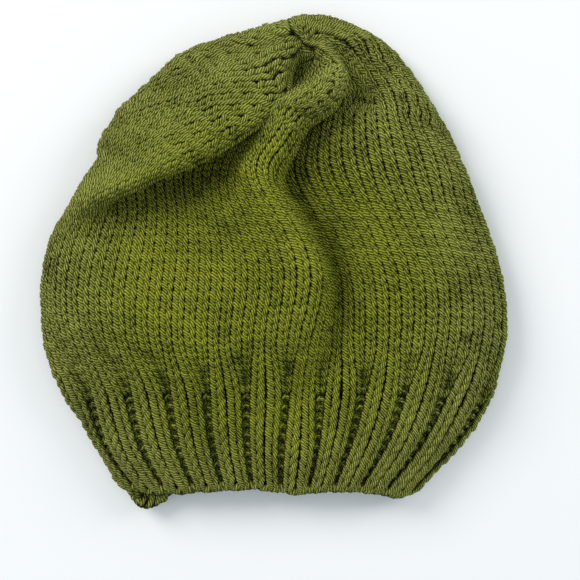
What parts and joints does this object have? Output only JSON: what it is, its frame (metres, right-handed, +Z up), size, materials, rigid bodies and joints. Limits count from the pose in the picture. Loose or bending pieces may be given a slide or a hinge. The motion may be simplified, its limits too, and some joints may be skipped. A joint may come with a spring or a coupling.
{
  "type": "knit beanie",
  "caption": "Slouchy hand-knit beanie laid flat, with a ribbed band, a plain body, a gathered crown folded over at one side and an open mouth.",
  "frame": {"origin": "on the table, under the middle of the hat's overall box as it lies flat on its back layer", "axes": "+Z up from the table, +X across the hat, +Y from the open mouth towards the crown"},
  "size_m": [0.2137, 0.227, 0.0305],
  "materials": {
    "rib_knit": "moss green worsted yarn in two-by-two ribbing, matt with a slight sheen and loose fibres",
    "plain_knit": "moss green worsted yarn in stocking stitch, matt with a slight sheen and loose fibres",
    "yarn_end": "single strands of the same plied moss green worsted yarn"
  },
  "bodies": {
    "root": {"cast_on_edge": "rib_knit", "rib_band": "rib_knit", "body": "plain_knit", "crown": "plain_knit", "crown_gather": "yarn_end", "cast_on_tail": "yarn_end", "crown_tail": "yarn_end"}
  },
  "joints": []
}
